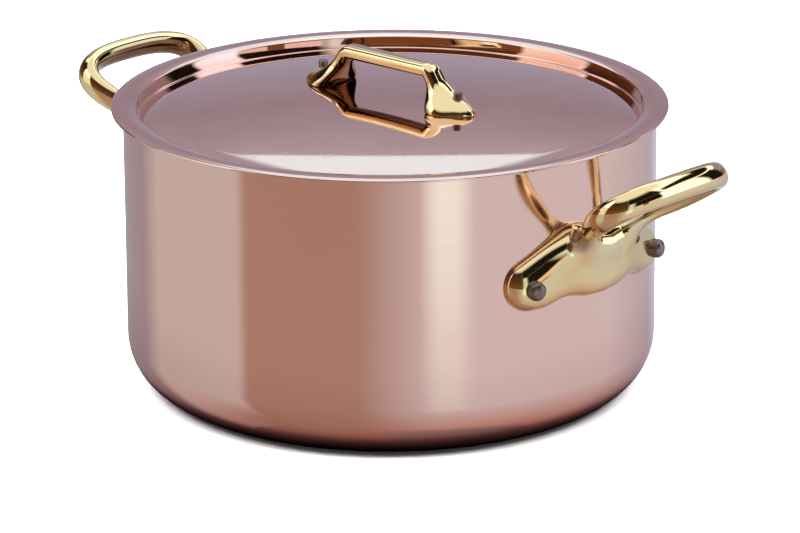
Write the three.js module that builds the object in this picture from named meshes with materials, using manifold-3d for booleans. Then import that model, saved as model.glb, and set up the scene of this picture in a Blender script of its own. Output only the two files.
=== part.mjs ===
// A lidded copper cocotte: a steel-lined copper pot, two riveted bronze side handles,
// and a steel-lined copper lid with a riveted bronze bridge handle.
// Millimetres and degrees, +Z up. The origin is the centre of the flat base, and the
// side handles lie along X.

import * as THREE from "three";
import { mergeVertices } from "three/addons/utils/BufferGeometryUtils.js";
import Module from "manifold-3d";

const wasm = await Module();
wasm.setup();

// Pot
const INNER_DIAMETER = 240;
const POT_HEIGHT = 132;
const POT_COPPER = 1.1;
const POT_LINING = 0.3;
const BASE_CORNER_RADIUS = 26;

// Fits that several pieces share
const BOND_GAP = 0.1;
const SEAT_GAP = 0.3;
const HOLE_CLEARANCE = 0.3;

// Lid, a well with a domed panel inside a flat flange
const LID_COPPER = 0.8;
const LID_LINING = 0.3;
const LID_OVERHANG = 5.3;
const LID_MOUTH_CLEARANCE = 3.8;
const FLANGE_BEND = 1.8;
const WELL_DEPTH = 4;
const WELL_LEAN = 1.6;
const DOME_RISE = 6.9;

// Side handle, a winged plate on the wall and a tilted loop
const PLATE_THICKNESS = 8;
const PLATE_BOTTOM = 68;
const PLATE_WAVE = 2.5;
const PLATE_TOP = 103;
const PLATE_TOP_DIP = 2;
const PLATE_SHOULDER_WIDTH = 52;
const WING_RADIUS = 12;
const LOOP_ROOT_HEIGHT = 99.8;
const LOOP_ROOT_SPREAD = 41;
const LOOP_SPREAD = 72.4;
const LOOP_REACH = 45.4;
const LOOP_TILT = 36;
const LOOP_SIDE_SETBACK = 13.8;
const LOOP_CORNER_SETBACK = 3.5;
const LOOP_CORNER_INSET = 7.8;
const BAR_HEIGHT = 12.2;
const BAR_WIDTH = 9.4;
const LEG_BOW = 2.4;
const LEG_EMBED = 8;

// Rivets of the side handles
const RIVET_ANGLE = 18.4;
const RIVET_HEIGHT = 79;
const RIVET_SHANK = 6;
const RIVET_HEAD = 8.8;
const RIVET_HEAD_HEIGHT = 4.8;
const RIVET_HEAD_EDGE = 1.2;
const RIVET_INNER_HEAD = 13;
const RIVET_INNER_HEIGHT = 2.4;

// Lid handle, a bridge on two splayed leaf-shaped feet
const BRIDGE_HEIGHT = 19.6;
const BRIDGE_LENGTH = 57;
const BRIDGE_WIDTH = 9.2;
const BRIDGE_THICKNESS = 5;
const BRIDGE_CORNER = 3.5;
const FINGER_GAP_LENGTH = 50;
const LEG_SPLAY = 6;
const FOOT_SPAN = 102;
const FOOT_WIDTH = 23;
const FOOT_NECK_HEIGHT = 7;
const FOOT_TIP_WIDTH = 8;
const FOOT_TIP_HEIGHT = 3;
const LEG_FLARE_HEIGHT = 13;

// Rivets of the lid handle
const LID_RIVET_INSET = 9.5;
const LID_RIVET_SHANK = 3;
const LID_RIVET_HEAD = 4.2;
const LID_RIVET_HEAD_HEIGHT = 2.6;
const LID_RIVET_SEAT = 6.6;
const LID_RIVET_EDGE = 0.6;
const LID_RIVET_INNER_HEAD = 8;
const LID_RIVET_INNER_HEIGHT = 1.6;

// Fineness of the round surfaces
const ROUND_SIDES = 48;
const RIVET_SIDES = 12;
const BAR_DIVISIONS = 6;
const LOOP_STEPS = 24;
const ARC_DIVISIONS = 4;
const DOME_RINGS = 6;
const MERGE_TOLERANCE = 1e-4;

// Where a bend's middle point lies, as a share of the bend
const BEND_SHARE = 1 / 3;

// Sizes that follow from those above
const flatSide = Math.cos(Math.PI / ROUND_SIDES);
const innerRadius = INNER_DIAMETER / 2;
const wall = POT_COPPER + BOND_GAP + POT_LINING;
const outerRadius = innerRadius + wall;
const plateRadius = outerRadius + PLATE_THICKNESS;
const rivetAngle = THREE.MathUtils.degToRad(RIVET_ANGLE);
const rivetSide = (plateRadius + outerRadius) / 2 * Math.sin(rivetAngle);
const lidSheet = LID_COPPER + BOND_GAP + LID_LINING;
const flangeTop = POT_HEIGHT + SEAT_GAP + lidSheet;
const flangeRadius = outerRadius + LID_OVERHANG;
const wellRadius = innerRadius - LID_MOUTH_CLEARANCE - lidSheet;
const panelEdge = flangeTop - WELL_DEPTH;
const panelRadius = wellRadius - WELL_LEAN;
const lidRivetSide = FOOT_SPAN / 2 - LID_RIVET_INSET;
const bridgeBase = domeHeight(lidRivetSide) + SEAT_GAP;

// The lid's domed panel is a paraboloid that falls from the centre to the panel's edge.
function domeHeight(radius) {
  return panelEdge + DOME_RISE * (1 - (radius / panelRadius) ** 2);
}

// Solids and geometry

function toSolid(geometry) {
  const plain = geometry.index ? geometry.toNonIndexed() : geometry.clone();
  plain.deleteAttribute("normal");
  plain.deleteAttribute("uv");
  const merged = mergeVertices(plain, MERGE_TOLERANCE);
  const triangles = [];
  for (let i = 0; i < merged.index.count; i += 3) {
    const corners = [0, 1, 2].map((step) => merged.index.getX(i + step));
    if (new Set(corners).size === 3) triangles.push(...corners);
  }
  const vertProperties = merged.attributes.position.array;
  const triVerts = Uint32Array.from(triangles);
  return new wasm.Manifold(new wasm.Mesh({ numProp: 3, vertProperties, triVerts }));
}

function toGeometry(manifold) {
  const mesh = manifold.getMesh();
  const geometry = new THREE.BufferGeometry();
  geometry.setAttribute("position", new THREE.BufferAttribute(mesh.vertProperties, 3));
  geometry.setIndex(new THREE.BufferAttribute(mesh.triVerts, 1));
  geometry.computeVertexNormals();
  return geometry;
}

// A profile of (radius, height) points turned about Z.
function turned(points, sides) {
  return new THREE.LatheGeometry(points, sides).rotateX(Math.PI / 2);
}

// A profile of (radius, length) points turned about X.
function turnedAlongX(points, sides) {
  return new THREE.LatheGeometry(points, sides).rotateZ(-Math.PI / 2);
}

function cylinderAlongX(radius, start, end) {
  const points = [[0, start], [radius, start], [radius, end], [0, end]];
  return turnedAlongX(points.map(([r, x]) => new THREE.Vector2(r, x)), RIVET_SIDES);
}

function cylinderAlongZ(radius, start, end, sides) {
  const points = [[0, start], [radius, start], [radius, end], [0, end]];
  return turned(points.map(([r, z]) => new THREE.Vector2(r, z)), sides);
}

function prism(shape, length) {
  const options = { depth: length, curveSegments: ARC_DIVISIONS, bevelEnabled: false };
  return new THREE.ExtrudeGeometry(shape, options);
}

// The profile moved sideways by a depth, to its left, with mitred corners. It starts on the
// axis, where the other half of the turned surface mirrors it.
function offsetProfile(points, depth) {
  const normals = points.slice(1).map((point, i) => {
    const run = point.clone().sub(points[i]).normalize();
    return new THREE.Vector2(-run.y, run.x);
  });
  const mirrored = new THREE.Vector2(-normals[0].x, normals[0].y);
  return points.map((point, i) => {
    const before = i > 0 ? normals[i - 1] : mirrored;
    const after = normals[Math.min(i, normals.length - 1)];
    const mitre = before.clone().add(after).divideScalar(1 + before.dot(after));
    return point.clone().addScaledVector(mitre, depth);
  });
}

// One layer of a turned sheet, between two depths under its profile.
function sheetLayer(profile, near, far) {
  const outside = offsetProfile(profile, near);
  const inside = offsetProfile(profile, far).reverse();
  const points = [...outside, ...inside];
  return toSolid(turned(near < far ? points : points.reverse(), ROUND_SIDES));
}

// Pot

function potProfile() {
  const path = new THREE.Path();
  const flat = outerRadius - BASE_CORNER_RADIUS;
  path.moveTo(0, 0);
  path.lineTo(flat, 0);
  path.absarc(flat, BASE_CORNER_RADIUS, BASE_CORNER_RADIUS, -Math.PI / 2, 0, false);
  path.lineTo(outerRadius, POT_HEIGHT);
  return path.getPoints(ARC_DIVISIONS);
}

// The side rivets, each with its turn about the pot's axis.
const rivetPlaces = [
  { name: "right_handle_rivet_front", turn: -rivetAngle },
  { name: "right_handle_rivet_back", turn: rivetAngle },
  { name: "left_handle_rivet_back", turn: Math.PI - rivetAngle },
  { name: "left_handle_rivet_front", turn: Math.PI + rivetAngle },
];

function rivetHole(turn) {
  const radius = RIVET_SHANK / 2 + HOLE_CLEARANCE;
  const hole = cylinderAlongX(radius, innerRadius / 2, plateRadius * 2);
  return toSolid(hole.rotateZ(turn).translate(0, 0, RIVET_HEIGHT));
}

function withRivetHoles(body, turns) {
  return turns.reduce((rest, turn) => rest.subtract(rivetHole(turn)), body);
}

function potLayer(near, far) {
  return withRivetHoles(sheetLayer(potProfile(), near, far), rivetPlaces.map((place) => place.turn));
}

// The rivet's inner head clears the curved wall at its rim, and its outer head sits on the plate.
function sideRivet() {
  const rim = RIVET_INNER_HEAD / 2;
  const seat = Math.sqrt(innerRadius ** 2 - rim ** 2) * flatSide - SEAT_GAP;
  const shoulder = plateRadius + SEAT_GAP;
  const end = shoulder + RIVET_HEAD_HEIGHT;
  const head = RIVET_HEAD / 2;
  const points = [
    [0, seat - RIVET_INNER_HEIGHT],
    [rim / 2, seat - RIVET_INNER_HEIGHT],
    [rim, seat - RIVET_INNER_HEIGHT * BEND_SHARE],
    [rim, seat],
    [RIVET_SHANK / 2, seat],
    [RIVET_SHANK / 2, shoulder],
    [head, shoulder],
    [head, end - RIVET_HEAD_EDGE],
    [head - RIVET_HEAD_EDGE, end],
    [0, end],
  ];
  return turnedAlongX(points.map(([r, x]) => new THREE.Vector2(r, x)), RIVET_SIDES);
}

// Side handle

// The plate's outline, seen from outside: two round wings, a waved lower edge and two shoulders.
function plateOutline() {
  const shoulder = PLATE_SHOULDER_WIDTH / 2;
  const waveTop = PLATE_BOTTOM + PLATE_WAVE;
  const rise = Math.atan2(PLATE_TOP - RIVET_HEIGHT - WING_RADIUS, rivetSide - shoulder);
  const wingTop = Math.PI / 2 - rise;
  const shape = new THREE.Shape();
  shape.moveTo(0, PLATE_BOTTOM);
  shape.quadraticCurveTo(rivetSide / 4, waveTop, rivetSide / 2, waveTop);
  shape.quadraticCurveTo(rivetSide * 3 / 4, waveTop, rivetSide, RIVET_HEIGHT - WING_RADIUS);
  shape.absarc(rivetSide, RIVET_HEIGHT, WING_RADIUS, -Math.PI / 2, wingTop, false);
  shape.lineTo(shoulder, PLATE_TOP);
  shape.quadraticCurveTo(0, PLATE_TOP - 2 * PLATE_TOP_DIP, -shoulder, PLATE_TOP);
  shape.absarc(-rivetSide, RIVET_HEIGHT, WING_RADIUS, Math.PI - wingTop, Math.PI * 3 / 2, false);
  shape.quadraticCurveTo(-rivetSide * 3 / 4, waveTop, -rivetSide / 2, waveTop);
  shape.quadraticCurveTo(-rivetSide / 4, waveTop, 0, PLATE_BOTTOM);
  return shape;
}

function wallPlate() {
  const outward = new THREE.Vector3(1, 0, 0);
  const sideways = new THREE.Vector3(0, 1, 0);
  const upward = new THREE.Vector3(0, 0, 1);
  const winged = prism(plateOutline(), plateRadius);
  winged.applyMatrix4(new THREE.Matrix4().makeBasis(sideways, upward, outward));
  const drum = cylinderAlongZ(plateRadius, 0, POT_HEIGHT, ROUND_SIDES);
  return toSolid(winged).intersect(toSolid(drum));
}

// The loop's centre line, flat in its own plane: legs that spread to the sides and a bowed grip.
function loopCurve() {
  const root = LOOP_ROOT_SPREAD / 2;
  const side = LOOP_SPREAD / 2;
  const legRun = new THREE.Vector2(LOOP_REACH - LOOP_SIDE_SETBACK, side - root).normalize();
  const half = [
    [-legRun.x * LEG_EMBED, root - legRun.y * LEG_EMBED],
    [(LOOP_REACH - LOOP_SIDE_SETBACK) / 2, (root + side) / 2 + LEG_BOW],
    [LOOP_REACH - LOOP_SIDE_SETBACK, side],
    [LOOP_REACH - LOOP_CORNER_SETBACK, side - LOOP_CORNER_INSET],
  ];
  const points = half.map(([out, across]) => new THREE.Vector3(out, -across, 0));
  points.push(new THREE.Vector3(LOOP_REACH, 0, 0));
  points.push(...half.reverse().map(([out, across]) => new THREE.Vector3(out, across, 0)));
  return new THREE.CatmullRomCurve3(points, false, "centripetal");
}

function handleLoop() {
  const section = new THREE.Shape();
  section.absellipse(0, 0, BAR_HEIGHT / 2, BAR_WIDTH / 2, 0, 2 * Math.PI, false, 0);
  const loop = new THREE.ExtrudeGeometry(section, {
    steps: LOOP_STEPS,
    curveSegments: BAR_DIVISIONS,
    extrudePath: loopCurve(),
    bevelEnabled: false,
  });
  loop.rotateY(-THREE.MathUtils.degToRad(LOOP_TILT));
  loop.translate(plateRadius, 0, LOOP_ROOT_HEIGHT);
  return toSolid(loop);
}

function sideHandle() {
  const casting = wallPlate().add(handleLoop());
  const potSide = cylinderAlongZ(outerRadius + SEAT_GAP, 0, POT_HEIGHT, ROUND_SIDES);
  return withRivetHoles(casting.subtract(toSolid(potSide)), [-rivetAngle, rivetAngle]);
}

// Lid

function lidProfile() {
  const points = [];
  for (let ring = 0; ring <= DOME_RINGS; ring += 1) {
    const radius = panelRadius * ring / DOME_RINGS;
    points.push([radius, domeHeight(radius)]);
  }
  points.push([wellRadius, flangeTop - FLANGE_BEND]);
  const bend = FLANGE_BEND * BEND_SHARE;
  points.push([wellRadius + bend, flangeTop - bend]);
  points.push([wellRadius + FLANGE_BEND, flangeTop]);
  points.push([flangeRadius, flangeTop]);
  return points.map(([r, z]) => new THREE.Vector2(r, z));
}

const lidRivetSides = [{ name: "lid_rivet_right", side: 1 }, { name: "lid_rivet_left", side: -1 }];

function withLidRivetHoles(body) {
  return lidRivetSides.reduce((rest, { side }) => {
    const radius = LID_RIVET_SHANK / 2 + HOLE_CLEARANCE;
    const hole = cylinderAlongZ(radius, 0, flangeTop + POT_HEIGHT, RIVET_SIDES);
    return rest.subtract(toSolid(hole.translate(side * lidRivetSide, 0, 0)));
  }, body);
}

function lidLayer(near, far) {
  return withLidRivetHoles(sheetLayer(lidProfile(), -near, -far));
}

// Lid handle

// A closed outline from its half on the positive side, mirrored across the vertical axis.
function mirroredShape(half) {
  const mirrored = half.slice().reverse().map(([x, y]) => [-x, y]);
  const points = [...half, ...mirrored].map(([x, y]) => new THREE.Vector2(x, y));
  return new THREE.Shape(points);
}

// The bridge from the front: the feet run under the lid's surface, which then trims them.
function bridgeSideView() {
  const top = bridgeBase + BRIDGE_HEIGHT;
  const gapTop = top - BRIDGE_THICKNESS;
  const halfGap = FINGER_GAP_LENGTH / 2;
  const halfLength = BRIDGE_LENGTH / 2;
  const headRoom = LID_RIVET_HEAD / 2 + HOLE_CLEARANCE;
  const half = [
    [halfGap - BRIDGE_CORNER, gapTop],
    [halfGap, gapTop - BRIDGE_CORNER],
    [halfGap + LEG_SPLAY, panelEdge],
    [FOOT_SPAN / 2, panelEdge],
    [FOOT_SPAN / 2, bridgeBase + FOOT_TIP_HEIGHT],
    [lidRivetSide + headRoom, bridgeBase + LID_RIVET_SEAT],
    [lidRivetSide - headRoom, bridgeBase + LID_RIVET_SEAT],
    [lidRivetSide - headRoom, bridgeBase + FOOT_NECK_HEIGHT],
    [halfLength, top - BRIDGE_CORNER],
    [halfLength - BRIDGE_CORNER, top],
  ];
  return mirroredShape(half);
}

// The bridge from above: a narrow bar between two leaf-shaped feet.
function bridgePlanView() {
  const halfGap = FINGER_GAP_LENGTH / 2;
  const foot = halfGap + LEG_SPLAY;
  const half = [
    [halfGap - BRIDGE_CORNER, -BRIDGE_WIDTH / 2],
    [foot, -FOOT_WIDTH / 2],
    [foot + LEG_SPLAY, -FOOT_WIDTH / 2],
    [FOOT_SPAN / 2, -FOOT_TIP_WIDTH / 2],
    [FOOT_SPAN / 2, FOOT_TIP_WIDTH / 2],
    [foot + LEG_SPLAY, FOOT_WIDTH / 2],
    [foot, FOOT_WIDTH / 2],
    [halfGap - BRIDGE_CORNER, BRIDGE_WIDTH / 2],
  ];
  return mirroredShape(half);
}

// The bridge from its end: legs that flare from the bar's width to the foot's.
function bridgeEndView() {
  const half = [
    [FOOT_WIDTH / 2, panelEdge],
    [FOOT_WIDTH / 2, bridgeBase + FOOT_TIP_HEIGHT],
    [(FOOT_WIDTH + BRIDGE_WIDTH) / 4, bridgeBase + FOOT_NECK_HEIGHT],
    [BRIDGE_WIDTH / 2, bridgeBase + LEG_FLARE_HEIGHT],
    [BRIDGE_WIDTH / 2, bridgeBase + BRIDGE_HEIGHT],
  ];
  return mirroredShape(half);
}

function lidHandle() {
  const side = prism(bridgeSideView(), FOOT_WIDTH * 2).translate(0, 0, -FOOT_WIDTH).rotateX(Math.PI / 2);
  const plan = prism(bridgePlanView(), POT_HEIGHT).translate(0, 0, panelEdge);
  const end = prism(bridgeEndView(), FOOT_SPAN * 2).translate(0, 0, -FOOT_SPAN);
  end.rotateX(Math.PI / 2).rotateZ(Math.PI / 2);
  const bridge = toSolid(side).intersect(toSolid(plan)).intersect(toSolid(end));
  const panel = lidProfile().slice(0, DOME_RINGS + 1).map((p) => p.clone().setY(p.y + SEAT_GAP));
  const below = [new THREE.Vector2(0, 0), new THREE.Vector2(panelRadius, 0), ...panel.reverse()];
  return withLidRivetHoles(bridge.subtract(toSolid(turned(below, ROUND_SIDES))));
}

// The lid rivet's inner head hangs under the lid, and its outer head sits on the foot.
function lidRivet() {
  const rim = LID_RIVET_INNER_HEAD / 2;
  const seat = domeHeight(lidRivetSide + rim) - lidSheet - SEAT_GAP;
  const shoulder = bridgeBase + LID_RIVET_SEAT + SEAT_GAP;
  const end = shoulder + LID_RIVET_HEAD_HEIGHT;
  const head = LID_RIVET_HEAD / 2;
  const points = [
    [0, seat - LID_RIVET_INNER_HEIGHT],
    [rim / 2, seat - LID_RIVET_INNER_HEIGHT],
    [rim, seat - LID_RIVET_INNER_HEIGHT * BEND_SHARE],
    [rim, seat],
    [LID_RIVET_SHANK / 2, seat],
    [LID_RIVET_SHANK / 2, shoulder],
    [head, shoulder],
    [head, end - LID_RIVET_EDGE],
    [head - LID_RIVET_EDGE, end],
    [0, end],
  ];
  return turned(points.map(([r, z]) => new THREE.Vector2(r, z)), RIVET_SIDES);
}

// Materials

const copper = { color: 0xb87a63, roughness: 0.28, metalness: 1 };
const steelLining = { color: 0xc4c3c0, roughness: 0.32, metalness: 1 };
const bronze = { color: 0xc9b26a, roughness: 0.14, metalness: 1 };
const rivetSteel = { color: 0x5c5350, roughness: 0.35, metalness: 1 };

// Assembly

const cocotte = new THREE.Group();

function addPiece(parent, name, geometry, finish) {
  const piece = new THREE.Mesh(geometry, new THREE.MeshStandardMaterial(finish));
  piece.name = name;
  parent.add(piece);
  return piece;
}

addPiece(cocotte, "pot_shell", toGeometry(potLayer(0, POT_COPPER)), copper);
addPiece(cocotte, "pot_lining", toGeometry(potLayer(POT_COPPER + BOND_GAP, wall)), steelLining);

const handleGeometry = toGeometry(sideHandle());
addPiece(cocotte, "right_handle", handleGeometry, bronze);
addPiece(cocotte, "left_handle", handleGeometry, bronze).rotation.z = Math.PI;

for (const { name, turn } of rivetPlaces) {
  const rivet = addPiece(cocotte, name, sideRivet(), rivetSteel);
  rivet.rotation.z = turn;
  rivet.position.z = RIVET_HEIGHT;
}

const lid = new THREE.Group();
cocotte.add(lid);
addPiece(lid, "lid_shell", toGeometry(lidLayer(0, LID_COPPER)), copper);
addPiece(lid, "lid_lining", toGeometry(lidLayer(LID_COPPER + BOND_GAP, lidSheet)), steelLining);
addPiece(lid, "lid_handle", toGeometry(lidHandle()), bronze);
for (const { name, side } of lidRivetSides) {
  addPiece(lid, name, lidRivet(), rivetSteel).position.x = side * lidRivetSide;
}

export default cocotte;
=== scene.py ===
# %% [markdown]
# # A copper cocotte, cell by cell
# The object is a straight-sided copper cooking pot with a thin steel lining. Two loop handles and a bridge
# on the lid are cast in bronze and riveted on, and the lid lies loose on the rim, so it lifts off.
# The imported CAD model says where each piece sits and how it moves. It is made of flat facets, so in this
# lesson every piece gets its true roundness, and then its metal. The formulas are written in millimetres
# about the middle of the base, as a maker measures, and the meshes are turned to metres as they are made.

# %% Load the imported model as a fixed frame
import itertools
import math

import bpy
import numpy as np
from mathutils import Matrix


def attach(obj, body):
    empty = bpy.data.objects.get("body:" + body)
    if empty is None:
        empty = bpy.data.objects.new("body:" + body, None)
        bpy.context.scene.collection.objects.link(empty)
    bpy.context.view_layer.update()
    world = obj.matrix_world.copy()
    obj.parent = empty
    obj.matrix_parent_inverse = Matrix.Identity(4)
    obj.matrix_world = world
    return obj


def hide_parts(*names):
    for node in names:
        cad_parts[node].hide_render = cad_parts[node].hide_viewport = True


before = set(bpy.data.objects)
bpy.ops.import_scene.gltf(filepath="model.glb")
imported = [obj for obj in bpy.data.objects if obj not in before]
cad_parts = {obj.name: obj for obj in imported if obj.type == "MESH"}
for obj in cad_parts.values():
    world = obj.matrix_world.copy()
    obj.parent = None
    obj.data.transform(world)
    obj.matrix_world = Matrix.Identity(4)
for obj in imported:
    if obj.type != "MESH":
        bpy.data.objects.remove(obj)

MM = 0.001
TINY = 1e-12
QUARTER_TURN = 0.5 * math.pi
UP = np.array([0.0, 0.0, 1.0])
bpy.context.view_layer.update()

# %% [markdown]
# ## The camera
# The photograph was taken from well back with a long lens, about 18 degrees above the table, so the rim's
# ellipse is flat and near and far edges are almost the same size. A camera in Blender looks along its own
# minus Z with X to the right, so its matrix is just those three directions as columns and its place as the
# fourth. Setting the matrix avoids Euler angles, which are easy to get wrong when a view is also rolled.

# %% Set up the camera
CAMERA_AZIMUTH = math.radians(42.5)
CAMERA_BEARING = CAMERA_AZIMUTH - QUARTER_TURN
CAMERA_ELEVATION = math.radians(17.917)
CAMERA_ROLL = math.radians(-0.257)
CAMERA_DISTANCE = 2.0428
CAMERA_LENS, SENSOR_WIDTH, CLIP_END = 199.6, 36.0, 100.0
AIM_TO_RIGHT, AIM_HEIGHT = 0.00426, 0.05373


def direction(turn, lift):
    """Unit vectors at a turn round the axis and a lift above the level: the lift's cosine times the turn's
    cosine and sine, and the lift's sine."""
    return np.stack([np.cos(lift) * np.cos(turn), np.cos(lift) * np.sin(turn), np.sin(lift)], -1)


def placed(right, up, back, place):
    """A matrix whose columns are three directions and a place."""
    matrix = np.eye(4)
    matrix[:3] = np.stack([right, up, back, place], -1)
    return Matrix(matrix.tolist())


def new_object(name, data):
    """An object for a mesh, a lamp or a camera, linked into the scene."""
    made = bpy.data.objects.new(name, data)
    bpy.context.scene.collection.objects.link(made)
    return made


back = direction(CAMERA_BEARING, CAMERA_ELEVATION)
level = direction(CAMERA_AZIMUTH, 0.0)
right = math.cos(CAMERA_ROLL) * level + math.sin(CAMERA_ROLL) * np.cross(back, level)
eye = AIM_TO_RIGHT * level + AIM_HEIGHT * UP + CAMERA_DISTANCE * back
camera_data = bpy.data.cameras.new("camera")
camera_data.lens, camera_data.clip_end = CAMERA_LENS, CLIP_END
camera_data.sensor_width, camera_data.sensor_fit = SENSOR_WIDTH, "HORIZONTAL"
camera = new_object("camera", camera_data)
camera.matrix_world = placed(right, np.cross(back, right), back, eye)
bpy.context.scene.camera = camera
print("camera at", np.round(eye, 3))

# %% [markdown]
# ## From arrays to a mesh
# Every piece below ends as two arrays, its points and its faces, and one helper puts them into a mesh with
# foreach_set, which copies a whole array at once. Polished metal shows every wrong normal as a kink in a
# reflection. So the helper also takes exact normals, worked out from the same formula as the points, and
# Blender shades with those instead of averaging the neighbouring faces.

# %% Helpers that make a piece
def unit(vectors):
    """Vectors divided by their own lengths."""
    return vectors / np.maximum(np.linalg.norm(vectors, axis=-1, keepdims=True), TINY)


def make_piece(name, points, faces, normals):
    """A smooth mesh object from points and normals (n x 3, millimetres) and blocks of faces, each block an
    array of corner numbers with one row for each face."""
    mesh = bpy.data.meshes.new(name)
    corners = np.concatenate([block.ravel() for block in faces]).astype(np.int32)
    sizes = np.concatenate([np.full(len(block), block.shape[1]) for block in faces])
    starts = np.concatenate([[0], np.cumsum(sizes)[:-1]]).astype(np.int32)
    mesh.vertices.add(len(points))
    mesh.vertices.foreach_set("co", (points * MM).astype(np.float32).ravel())
    mesh.loops.add(len(corners))
    mesh.loops.foreach_set("vertex_index", corners)
    mesh.polygons.add(len(starts))
    mesh.polygons.foreach_set("loop_start", starts)
    mesh.update(calc_edges=True)
    mesh.shade_smooth()
    mesh.normals_split_custom_set_from_vertices(unit(normals).tolist())
    print(name, "has", len(points), "points and", len(starts), "faces")
    return new_object(name, mesh)


def mark_points(piece, name, values):
    """Stores one value for each point as an attribute that a material reads."""
    marks = piece.data.attributes.new(name, "FLOAT", "POINT").data
    marks.foreach_set("value", values.astype(np.float32).ravel())


def fit_piece(piece, body, node):
    """The piece rides on its CAD body and stands in for its CAD node, which is hidden."""
    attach(piece, body)
    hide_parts(node)
    return piece


# %% [markdown]
# ## Turned pieces
# The pot, the lid and the rivets are round about an axis, as they come off a spinning lathe. Blender's
# Screw modifier could turn a profile, but a grid is as short and gives exact normals: a point is the
# profile's radius times the cosine and sine of the turn, with the profile's height. Sheet metal has no
# sharp corner, so a profile is first written as a few corners, and each corner is then rounded to an arc.

# %% Round the corners of a profile
ARC_STEPS, ROUND_SIDES = 9, 256


def rounded_path(corners, radii, steps=ARC_STEPS):
    """An open path with an arc at each inner corner. If two arms meet at an angle of 2h, the arc's centre
    lies r / sin h along their bisector, and its spoke turns evenly from one arm's foot to the other's.
    Gives the points and the directions of travel."""
    corners = np.asarray(corners, float)
    radii = np.asarray(radii, float)[:, None]
    inner = corners[1:-1]
    arm_back, arm_on = unit(corners[:-2] - inner), unit(corners[2:] - inner)
    half = 0.5 * np.arccos(np.sum(arm_back * arm_on, -1, keepdims=True))
    centre = inner + unit(arm_back + arm_on) * radii / np.sin(half)
    first = unit(inner + arm_back * radii / np.tan(half) - centre)[:, None]
    last = unit(inner + arm_on * radii / np.tan(half) - centre)[:, None]
    turn = (math.pi - 2.0 * half)[:, None]
    share = np.linspace(0.0, 1.0, steps)[None, :, None]
    spoke = (np.sin((1.0 - share) * turn) * first + np.sin(share * turn) * last) / np.sin(turn)
    travel = (np.cos(share * turn) * last - np.cos((1.0 - share) * turn) * first) / np.sin(turn)
    arcs = centre[:, None] + radii[:, None] * spoke
    points = np.concatenate([corners[:1], arcs.reshape(-1, 2), corners[-1:]])
    ways = np.concatenate([-arm_back[:1], travel.reshape(-1, 2), arm_on[-1:]])
    return points, unit(ways)


# %% Carry a profile round the axis
def turned_surface(path, ways, sides=ROUND_SIDES):
    """A closed surface of revolution: (r cos t, r sin t, z) for each (r, z) of a path that starts and ends on
    the axis. The outside is on the right of the travel, so the normal in the profile is (way_z, -way_r)."""
    turn = np.linspace(0.0, 2.0 * math.pi, sides, endpoint=False)[None, :, None]
    spin = np.concatenate([np.cos(turn), np.sin(turn), np.ones_like(turn)], -1)

    def swing(pairs):
        return (pairs[:, [0, 0, 1]][:, None] * spin).reshape(-1, 3)

    def closed(pairs):
        return np.concatenate([swing(pairs[:1])[:1], swing(pairs[1:-1]), swing(pairs[-1:])[:1]])

    outward = np.stack([ways[:, 1], -ways[:, 0]], -1)
    outward[[0, -1], 0] = 0.0
    points, normals = closed(path), closed(outward)
    here = 1 + np.arange((len(path) - 2) * sides).reshape(-1, sides)
    beside = np.roll(here, -1, axis=1)
    quads = np.stack([here[:-1], beside[:-1], beside[1:], here[1:]], -1).reshape(-1, 4)
    bottom = np.stack([np.zeros(sides, int), beside[0], here[0]], -1)
    top = np.stack([here[-1], beside[-1], np.full(sides, len(points) - 1)], -1)
    return points, [quads, bottom, top], normals


# %% [markdown]
# ## The pot
# The pot is drawn from bonded sheet: 1.1 mm of copper outside and 0.3 mm of steel inside, with a 26 mm
# rounded corner where the wall meets the base. Both layers are closed shells, so the cut edge at the rim
# shows copper and steel side by side when the lid is off. The wall is exactly upright: the two sides of the
# photograph's outline only lean together because the foot of the pot is farther from the lens.

# %% Copper shell and steel lining of the pot
POT_RADIUS, POT_HEIGHT = 121.5, 132.0
BASE_CORNER, BASE_STEPS = 26.0, 17
COPPER = 1.1
LINING_FROM, LINING_TO = 1.2, 1.5
RIM_ROUND = 0.14


def pot_layer(name, near, far):
    """One layer of the drawn sheet: out along its lower face, up, over the rim, and back along its upper
    face."""
    outer, inner = POT_RADIUS - near, POT_RADIUS - far
    corners = [(0.0, near), (outer, near), (outer, POT_HEIGHT), (inner, POT_HEIGHT), (inner, far), (0.0, far)]
    rounds = [BASE_CORNER - near, RIM_ROUND, RIM_ROUND, BASE_CORNER - far]
    piece = make_piece(name, *turned_surface(*rounded_path(corners, rounds, BASE_STEPS)))
    return fit_piece(piece, "pot", name.replace("drawn_", ""))


pot_shell = pot_layer("drawn_pot_shell", 0.0, COPPER)
pot_lining = pot_layer("drawn_pot_lining", LINING_FROM, LINING_TO)

# %% [markdown]
# ## The lid
# From the rim inwards the lid is a flange that is crowned like a road, a short steep step down, and a
# shallow dome that rises to where the handle stands. The crown shows as two gleams: behind, the flange is
# bright on its inner side, and in front on its outer side. The step stiffens the thin sheet and centres the
# lid in the pot. The dome is a paraboloid, because then the slope grows evenly with the radius, and the
# bright edge that the polished panel mirrors near the front comes out as a straight line, as it does in the
# photograph. Its last centimetre rolls down faster, as pressed sheet does before it turns up into the step.

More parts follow.
